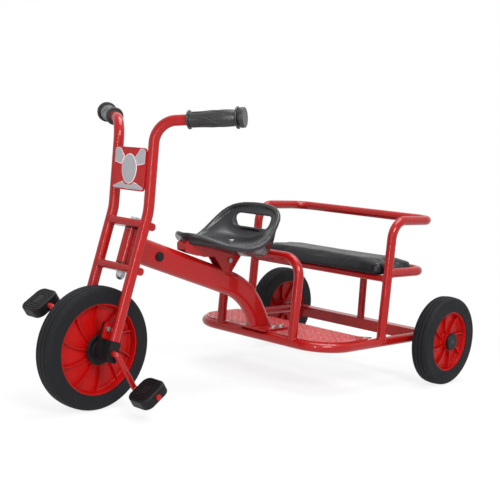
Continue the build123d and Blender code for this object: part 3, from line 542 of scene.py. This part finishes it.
def addTube(form, path, radius):
    # a round bead along a closed path
    count, sides, loops, first = len(path), seat["beadSides"], [], None
    for i, point in enumerate(path):
        along = (path[(i + 1) % count] - path[i - 1]).normalized()
        if first is None:
            first = along.cross(worldUp if abs(along.z) < 0.9 else worldAhead).normalized()
        else:
            first = (first - along * first.dot(along)).normalized()
        second = along.cross(first)
        loops.append([form.verts.new(point + (first * math.cos(a) + second * math.sin(a)) * radius)
                      for a in anglesOf(sides)])
    for i in range(count):
        near, far, shift = loops[i], loops[(i + 1) % count], 0
        if i == count - 1:
            shift = min(range(sides), key=lambda s: (far[s].co - near[0].co).length)
        for k in range(sides):
            m = (k + 1) % sides
            form.faces.new((near[k], near[m], far[(m + shift) % sides], far[(k + shift) % sides]))


def seatBeads(shellMesh):
    # the rolled rim, and the slot's bead where lines from ahead meet the front of the back
    def build(form):
        rim = []
        for a in anglesOf(seat["turns"]):
            ahead, side, height = seatCurve(seatRim, -math.cos(a))
            rim.append(at(ahead, math.copysign(side, math.sin(a)), height))
        addTube(form, rim, seat["rim"] * mm)
        skin = BVHTree.FromPolygons([vert.co for vert in shellMesh.vertices],
                                    [face.vertices for face in shellMesh.polygons])
        loop = [skin.ray_cast(point, -worldAhead)[0] for point in slotOutline(seat["before"])]
        sunk = worldAhead * (seat["beadDepth"] * mm)
        addTube(form, [point - sunk for point in loop], seat["slotBead"] * mm)
    return build


def makeSeat():
    # the driver's moulded seat: a rolled rim that dips at the sides and a slot in the back, in one skin
    body, tool = helperOf("seatShell", seatShell), helperOf("seatCutter", slotCutter)
    rolls = helperOf("seatBeads", seatBeads(body.data))
    cut = body.modifiers.new("slot", "BOOLEAN")
    cut.operation, cut.object, cut.solver = "DIFFERENCE", tool, "EXACT"
    form = bmesh.new()
    form.from_mesh(shaped(body))
    form.from_mesh(rolls.data)
    mesh = bpy.data.meshes.new("driverSeat")
    form.to_mesh(mesh)
    form.free()
    for helper in (body, tool, rolls):
        bpy.data.objects.remove(helper)
    item = addPiece("driverSeat", mesh, "seat_plastic", "frame")
    remesh = item.modifiers.new("skin", "REMESH")
    remesh.mode, remesh.voxel_size = "VOXEL", seat["voxel"]
    smooth = item.modifiers.new("soft", "SMOOTH")
    smooth.factor, smooth.iterations = seat["softness"], seat["soften"]
    settle(item, "seat_plastic")
    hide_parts("driver_seat")


makeSeat()
print("driver's seat made")


def makeChequers():
    # raised lozenges on the footboard, each turned across its neighbours
    board = dict(rear=235, front=388, half=217, corner=81, top=126, margin=7, flangeFrom=318, flangeHalf=44,
                 foot=(388, 117), footRadius=11, sink=0.1, angle=50)
    lozenge = dict(step=9.6, length=12, width=3.6, rise=0.8, topShare=0.55, turn=45, rows=30, columns=20)
    outline = [(0.5, 0), (0.3, 0.36), (0, 0.5), (-0.3, 0.36),
               (-0.5, 0), (-0.3, -0.36), (0, -0.5), (0.3, -0.36)]
    margin = board["margin"]

    def onBoard(ahead, side):
        # inside the board's rounded corners, and clear of the main tube's flange and of the hoop
        side = abs(side)
        if not (board["rear"] + margin < ahead < board["front"] - margin and side < board["half"] - margin):
            return False
        outAhead = ahead - (board["front"] - board["corner"])
        outSide = side - (board["half"] - board["corner"])
        if outAhead > 0 and outSide > 0 and math.hypot(outAhead, outSide) > board["corner"] - margin:
            return False
        if ahead > board["flangeFrom"] - margin and side < board["flangeHalf"] + margin:
            return False
        return math.hypot(ahead - board["foot"][0], side - board["foot"][1]) > board["footRadius"] + margin

    def addLozenge(form, ahead, side, turn):
        rings = []
        for share, height in ((1.0, -board["sink"]), (lozenge["topShare"], lozenge["rise"])):
            ring = []
            for x, y in outline:
                x, y = x * lozenge["length"] * share, y * lozenge["width"] * share
                ring.append(form.verts.new(at(ahead + x * math.cos(turn) - y * math.sin(turn),
                                              side + x * math.sin(turn) + y * math.cos(turn),
                                              board["top"] + height)))
            rings.append(ring)
        joinRings(form, *rings)
        form.faces.new(rings[1])

    def build(form):
        for row in range(-lozenge["rows"], lozenge["rows"] + 1):
            for column in range(lozenge["columns"]):
                ahead, side = board["rear"] + column * lozenge["step"], row * lozenge["step"]
                if onBoard(ahead, side):
                    way = 1 if (row + column) % 2 else -1
                    addLozenge(form, ahead, side, math.radians(way * lozenge["turn"]))

    mesh = meshOf("footboardChequers", build)
    mesh.shade_smooth()
    mesh.set_sharp_from_angle(angle=math.radians(board["angle"]))
    addPiece("footboardChequers", mesh, "red_paint", "frame", "board_paint")


makeChequers()
print("chequered footboard made")


weld = dict(radius=0.0017, ripple=0.16, beat=2.1, ringPoints=66, ovalPoints=72, mainWidth=0.030,
            mainHeight=0.055)


def newCurve(name, radius):
    # an empty curve with a round section
    curve = bpy.data.curves.new(name, "CURVE")
    curve.dimensions = "3D"
    curve.bevel_depth = radius
    curve.bevel_resolution = 2
    return curve


def addLine(curve, points, closed, ripple=0.0, beat=0.0):
    line = curve.splines.new("POLY")
    line.points.add(len(points) - 1)
    for i, point in enumerate(points):
        line.points[i].co = (*point, 1)
        line.points[i].radius = 1 + ripple * math.sin(i * beat)
    line.use_cyclic_u = closed
    line.use_smooth = True


def ringAround(centre, axis, radius):
    # points of a circle round an axis, in metres
    axis = axis.normalized()
    first = axis.orthogonal().normalized()
    second = axis.cross(first)
    return [centre + (first * math.cos(a) + second * math.sin(a)) * radius
            for a in anglesOf(weld["ringPoints"])]


def onTube(outline, step, axisPoint, axis, radius):
    # where the lines from an outline, all in one direction, first meet a round tube
    step, axis = step.normalized(), axis.normalized()
    flat = step - axis * step.dot(axis)
    points = []
    for start in outline:
        gap = start - axisPoint
        gap = gap - axis * gap.dot(axis)
        a, b, c = flat.dot(flat), 2 * gap.dot(flat), gap.dot(gap) - radius ** 2
        points.append(start + step * ((-b - math.sqrt(max(0.0, b * b - 4 * a * c))) / (2 * a)))
    return points


def onPlane(outline, step, planePoint, normal):
    return [start + step * ((planePoint - start).dot(normal) / step.dot(normal)) for start in outline]


def mainTubeOutline(centre, tall):
    # a flat oval across the main tube: two straight sides and two round ends
    straight, radius = (weld["mainHeight"] - weld["mainWidth"]) / 2, weld["mainWidth"] / 2
    points = []
    for angle in anglesOf(weld["ovalPoints"]):
        shift = straight if math.sin(angle) >= 0 else -straight
        points.append(centre + worldLeft * (radius * math.cos(angle))
                      + tall * (radius * math.sin(angle) + shift))
    return points


def makeWelds(name, runs, body):
    # rippled weld beads that follow the lines where tubes meet
    curve = newCurve(name, weld["radius"])
    for points, closed in runs:
        addLine(curve, points, closed, weld["ripple"], weld["beat"])
    addPiece(name, curve, "red_paint", body)


def frameWelds():
    # tube radii and lengths in metres, places in millimetres as in at()
    tube = dict(radius=0.011, slim=0.008, post=0.0095, back=0.05, side=217, hoopSide=117, above=150,
                loopHeight=112, hoopAhead=387, hoopLean=(-10, 0, 187.5), loopFront=388, uprightAhead=183,
                uprightTop=(172, 0, 400), uprightFoot=(184, 0, 117.5), rail=(177.3, 276),
                frontTube=(177.9, 262), beamFace=14, postFoot=(0, 12, 123))
    main = dict(slope=17.3, kink=(429.6, 0, 221.3), foot=(369, 0, 126), ahead=780, headSpot=(-18, 0, 217),
                headRadius=0.016, footBack=0.03, flangeTop=130)
    radius, above, loopHeight, back = (tube[key] for key in ("radius", "above", "loopHeight", "back"))
    upright = (at(*tube["uprightTop"]) - at(*tube["uprightFoot"])).normalized()
    loops = []
    for way in (1, -1):
        side, hoopSide, outward = way * tube["side"], way * tube["hoopSide"], worldLeft * way
        # hoop and uprights on the base loop
        ring = ringAround(at(tube["hoopAhead"], hoopSide, above), Vector(tube["hoopLean"]), radius)
        loops.append(onTube(ring, -worldUp, at(tube["loopFront"], 0, loopHeight), worldLeft, radius))
        ring = ringAround(at(tube["uprightAhead"], side, above), upright, radius)
        loopSpot = at(tube["uprightFoot"][0], side, loopHeight)
        loops.append(onTube(ring, -worldUp, loopSpot, worldAhead, radius))
        # bench rail and front tube on the uprights
        spot = at(tube["rail"][0], side, tube["rail"][1])
        ring = ringAround(spot - worldAhead * back, worldAhead, radius)
        loops.append(onTube(ring, worldAhead, spot, upright, radius))
        spot = at(tube["frontTube"][0], side, tube["frontTube"][1])
        ring = ringAround(spot - outward * back, worldLeft, tube["slim"])
        loops.append(onTube(ring, outward, spot, upright, radius))
        # ends of the base loop on the axle beam
        loops.append(ringAround(at(tube["beamFace"], side, loopHeight), worldAhead, radius))
    # the bench post on the axle beam
    loops.append(ringAround(at(*tube["postFoot"]), worldUp, tube["post"]))
    # main tube on the head tube and on the foot flange
    slope = math.radians(main["slope"])
    along = Vector((math.cos(slope), 0, math.sin(slope)))
    tall = Vector((-math.sin(slope), 0, math.cos(slope)))
    rise = (main["ahead"] - main["kink"][0]) * math.tan(slope)
    oval = mainTubeOutline(at(main["ahead"], 0, main["kink"][2] + rise), tall)
    loops.append(onTube(oval, along, inFork(*main["headSpot"]), forkUp, main["headRadius"]))
    foot = at(*main["foot"])
    drop = (foot - at(*main["kink"])).normalized()
    oval = mainTubeOutline(foot - drop * main["footBack"], drop.cross(worldLeft).normalized())
    loops.append(onPlane(oval, drop, at(0, 0, main["flangeTop"]), worldUp))
    return [(loop, True) for loop in loops]


def forkWelds():
    # millimetres along the fork, as in inFork()
    leg = dict(side=56, radiusSquared=121, crossbars=(171, 264), half=8, centre=3, start=-10.8, step=2.3,
               flat=7, round=12, endSide=46.6, endFrom=25, endStep=1.1, endCount=30, endEdges=(-5.5, 5.5))
    half, centre, step = leg["half"], leg["centre"], leg["step"]
    # round the crossbar's end, where it meets the leg
    path = [(leg["start"] + i * step, half) for i in range(leg["flat"])]
    turns = [math.pi * i / leg["round"] for i in range(1, leg["round"])]
    path += [(centre + half * math.sin(a), half * math.cos(a)) for a in turns]
    path += [(centre - i * step, -half) for i in range(leg["flat"])]

    def onLeg(way, ahead, height):
        reach = leg["side"] - math.sqrt(max(0.0, leg["radiusSquared"] - ahead * ahead))
        return inFork(ahead, way * reach, height)

    runs = []
    for way in (1, -1):
        for crossbar in leg["crossbars"]:
            runs.append([onLeg(way, ahead, crossbar + height) for ahead, height in path])
        # up both sides of the leg, where it meets its lug
        for ahead in leg["endEdges"]:
            runs.append([inFork(ahead, way * leg["endSide"], leg["endFrom"] + i * leg["endStep"])
                         for i in range(leg["endCount"])])
    return [(run, False) for run in runs]


makeWelds("frameWelds", frameWelds(), "frame")
makeWelds("forkWelds", forkWelds(), "fork")
print("welds made")


grip = dict(length=116, cap=5, radius=15, swell=2, swellAt=66.3, swellWidth=20, sink=0.5, ridge=0.0016,
            corner=(42, 56, 466), end=(-35, 214, 506))
leaf = dict(start=45, stop=93, angle=30, sharpness=0.8, steps=20, stemStart=9, stemAngle=17, stemSteps=8,
            count=4, turn=20)


def leafLines():
    # a leaf's edge and its two stems: millimetres along the grip, degrees round it
    span, stemSpan = leaf["stop"] - leaf["start"], leaf["start"] - leaf["stemStart"]
    edge = []
    for i in range(leaf["steps"] + 1):
        swing = math.sin(math.pi * i / leaf["steps"]) ** leaf["sharpness"]
        edge.append((leaf["start"] + span * i / leaf["steps"], leaf["angle"] * swing))
    lines = [(edge + [(along, -angle) for along, angle in reversed(edge[1:-1])], True)]
    for way in (1, -1):
        stem = []
        for i in range(leaf["stemSteps"] + 1):
            share = i / leaf["stemSteps"]
            stem.append((leaf["stemStart"] + stemSpan * share, way * leaf["stemAngle"] * (1 - share ** 3)))
        lines.append((stem, False))
    return lines


def makeGripLeaves(name, side):
    # leaf-shaped ridges moulded on the outer half of a grip, with stems towards the inner flange
    corner, end = (inFork(ahead, side * reach, height)
                   for ahead, reach, height in (grip["corner"], grip["end"]))
    axis = (end - corner).normalized()
    start = end - axis * (grip["length"] - grip["cap"]) * mm
    first = forkUp.cross(axis).normalized()
    second = axis.cross(first)

    def place(along, angle):
        swell = grip["swell"] * math.exp(-((along - grip["swellAt"]) / grip["swellWidth"]) ** 2)
        radius, turn = grip["radius"] + swell - grip["sink"], math.radians(angle)
        return start + axis * along * mm + (first * math.cos(turn) + second * math.sin(turn)) * radius * mm

    curve = newCurve(name, grip["ridge"])
    for number in range(leaf["count"]):
        middle = leaf["turn"] + number * 360 / leaf["count"]
        for points, closed in leafLines():
            addLine(curve, [place(along, middle + angle) for along, angle in points], closed)
    addPiece(name, curve, "grip_rubber", "fork")


makeGripLeaves("gripLeaves_left", 1)
makeGripLeaves("gripLeaves_right", -1)
print("grip ridges made")


def makePlateFace():
    # a plain silver oval and wedges with pale edges on the blank plate, and a low rim round it
    plate = dict(halfWidth=50, height=87, corner=8, rim=0.0011, rimInset=1.2, rimSteps=8, rimAhead=0.0001,
                 rise=0.0006, edge=1.5, edgeShare=0.6, wedgeShare=1.3, chamfer=0.5, limit=(48, 41.8),
                 oval=(22, 29), ovalPoints=36)
    # the riser that carries the plate, in millimetres, then the plate's place on it in metres
    riser = dict(foot=291, ahead=42, up=175, middle=0.082, plateAhead=0.00922, thickness=0.003)
    lean = (forkAhead * riser["ahead"] + forkUp * riser["up"]).normalized()
    ahead = Vector((lean.z, 0, -lean.x))
    middle = (inFork(0, 0, riser["foot"]) + lean * riser["middle"]
              + ahead * (riser["plateAhead"] + riser["thickness"]))
    wide, tall = plate["oval"]
    oval = [(wide * math.cos(a), tall * math.sin(a)) for a in anglesOf(plate["ovalPoints"])]
    upper = [(32, 40.5), (46.5, 40.5), (46.5, 13), (26, 9), (18, 24.5)]
    lower = [(-17, -26.5), (-46, -37), (-46, -40.5), (46, -40.5),
             (46, -37), (17, -26.5), (9, -32.5), (-9, -32.5)]
    wedges = [oval, upper, [(-u, v) for u, v in reversed(upper)], lower]
    limitU, limitV = plate["limit"]

    def spot(u, v, height):
        return middle + Vector((0, u, 0)) * mm + lean * v * mm + ahead * height

    def panels(grow, rise):
        # low panels with a chamfered edge, grown past the wedges
        def build(form):
            for wedge in wedges:
                mid = Vector((sum(u for u, v in wedge), sum(v for u, v in wedge))) / len(wedge)
                rings = []
                for extra, height in ((grow, 0.0), (grow - plate["chamfer"], rise)):
                    ring = []
                    for u, v in wedge:
                        away = Vector((u, v)) - mid
                        away = away * (1 + extra / away.length) + mid
                        u, v = max(-limitU, min(limitU, away.x)), max(-limitV, min(limitV, away.y))
                        ring.append(form.verts.new(spot(u, v, height)))
                    rings.append(ring)
                joinRings(form, *rings)
                form.faces.new(rings[1])
                form.faces.new(list(reversed(rings[0])))
        return build

    edges = meshOf("plateEdges", panels(plate["edge"], plate["rise"] * plate["edgeShare"]))
    faces = meshOf("plateWedges", panels(0, plate["rise"] * plate["wedgeShare"]))
    addPiece("plateEdges", edges, "plate_plastic", "fork", "plate_edge")
    addPiece("plateWedges", faces, "plate_plastic", "fork", "plate_silver")
    curve = newCurve("plateRim", plate["rim"])
    outline = roundedOutline(plate["halfWidth"] - plate["corner"], plate["height"] / 2 - plate["corner"],
                             plate["corner"] - plate["rimInset"], plate["rimSteps"])
    addLine(curve, [spot(u, v, plate["rimAhead"]) for u, v in outline], True)
    addPiece("plateRim", curve, "plate_plastic", "fork")


makePlateFace()
print("plate face made")


def seenDirectly(tree):
    # 1 for rays from the camera, from a mirror-like surface or through glass
    path = addNode(tree, "ShaderNodeLightPath").outputs
    seen = calc(tree, "MAXIMUM", path["Is Camera Ray"], path["Is Glossy Ray"])
    return calc(tree, "MAXIMUM", seen, path["Is Transmission Ray"])


def makeFloor():
    # white where it is seen, with the object's shadow near the middle
    floor = dict(half=15.0, colour=0.94, clearFrom=0.45, clearTo=1.2, shadow=0.16)
    half = floor["half"]
    mesh = bpy.data.meshes.new("floor")
    corners = [(-half, -half, 0), (half, -half, 0), (half, half, 0), (-half, half, 0)]
    mesh.from_pydata(corners, [], [(0, 1, 2, 3)])
    item = bpy.data.objects.new("floor", mesh)
    scene.collection.objects.link(item)
    material, tree, shader = newMaterial("floorFinish", Roughness=0.9, Specular_IOR_Level=0.2)
    shader.inputs["Base Color"].default_value = (floor["colour"],) * 3 + (1,)
    reach = calcVector(tree, "LENGTH", pieceSpace(tree))["Value"]
    clear = addNode(tree, "ShaderNodeMapRange",
                    {"Value": reach, "From Min": floor["clearFrom"], "From Max": floor["clearTo"]},
                    interpolation_type="SMOOTHERSTEP")
    plain = addNode(tree, "ShaderNodeMapRange",
                    {"Value": clear.outputs[0], "To Min": 1 - floor["shadow"], "To Max": 1.0})
    share = calc(tree, "MULTIPLY", plain.outputs[0], seenDirectly(tree))
    white = addNode(tree, "ShaderNodeEmission", {"Color": (1, 1, 1, 1), "Strength": 1.0})
    mixed = addNode(tree, "ShaderNodeMixShader", {0: share, 1: shader.outputs[0], 2: white.outputs[0]})
    tree.links.new(mixed.outputs[0], tree.nodes["Material Output"].inputs["Surface"])
    mesh.materials.append(material)


def makeWorld():
    # soft light from all round; seen directly, it is plain white
    light = dict(ambient=0.26)
    world = bpy.data.worlds.new("studio")
    world.use_nodes = True
    tree = world.node_tree
    back = tree.nodes["Background"]
    back.inputs["Color"].default_value = (1, 1, 1, 1)
    back.inputs["Strength"].default_value = light["ambient"]
    white = addNode(tree, "ShaderNodeBackground", {"Color": (1, 1, 1, 1), "Strength": 1.0})
    mixed = addNode(tree, "ShaderNodeMixShader",
                    {0: seenDirectly(tree), 1: back.outputs[0], 2: white.outputs[0]})
    tree.links.new(mixed.outputs[0], tree.nodes["World Output"].inputs["Surface"])
    scene.world = world


softboxes = {
    "keySoftbox": dict(place=(1.2, 2.6, 2.4), target=(0, 0, 0.25), width=1.4, height=1.0, power=92),
    "topSoftbox": dict(place=(-0.4, 0.2, 2.6), target=(0, 0, 0.2), width=1.6, height=1.6, power=60),
    "stripSoftbox": dict(place=(2.03, 1.08, 0.8), target=(0.1, 0, 0.7), width=0.16, height=1.5, power=17),
}


def addSoftbox(name, place, target, width, height, power):
    # a rectangular lamp that faces its target
    lamp = bpy.data.lights.new(name, "AREA")
    lamp.shape, lamp.size, lamp.size_y, lamp.energy = "RECTANGLE", width, height, power
    item = bpy.data.objects.new(name, lamp)
    item.location = place
    item.rotation_euler = (Vector(target) - Vector(place)).to_track_quat("-Z", "Y").to_euler()
    scene.collection.objects.link(item)


def makeCamera():
    # the photograph's view, as fitted to the object
    view = dict(target=(-0.0885, 0, 0.25), azimuth=42.713, elevation=7.413, distance=2.3646, roll=3.92,
                lens=71.672, sensor=36, shiftX=-0.0401, shiftY=0.0506)
    turn, rise, roll = (math.radians(view[key]) for key in ("azimuth", "elevation", "roll"))
    back = Vector((math.cos(turn) * math.cos(rise), math.sin(turn) * math.cos(rise), math.sin(rise)))
    right = worldUp.cross(back).normalized()
    up = back.cross(right)
    right, up = right * math.cos(roll) + up * math.sin(roll), up * math.cos(roll) - right * math.sin(roll)
    lens = bpy.data.cameras.new("camera")
    lens.lens, lens.sensor_width, lens.shift_x, lens.shift_y = (
        view[key] for key in ("lens", "sensor", "shiftX", "shiftY"))
    item = bpy.data.objects.new("camera", lens)
    item.matrix_world = Matrix.Translation(Vector(view["target"]) + back * view["distance"]) @ Matrix(
        (right, up, back)).transposed().to_4x4()
    scene.collection.objects.link(item)
    scene.camera = item


makeFloor()
makeWorld()
for boxName, box in softboxes.items():
    addSoftbox(boxName, **box)
makeCamera()
scene.view_settings.view_transform = "Standard"
print("floor, light and camera set")
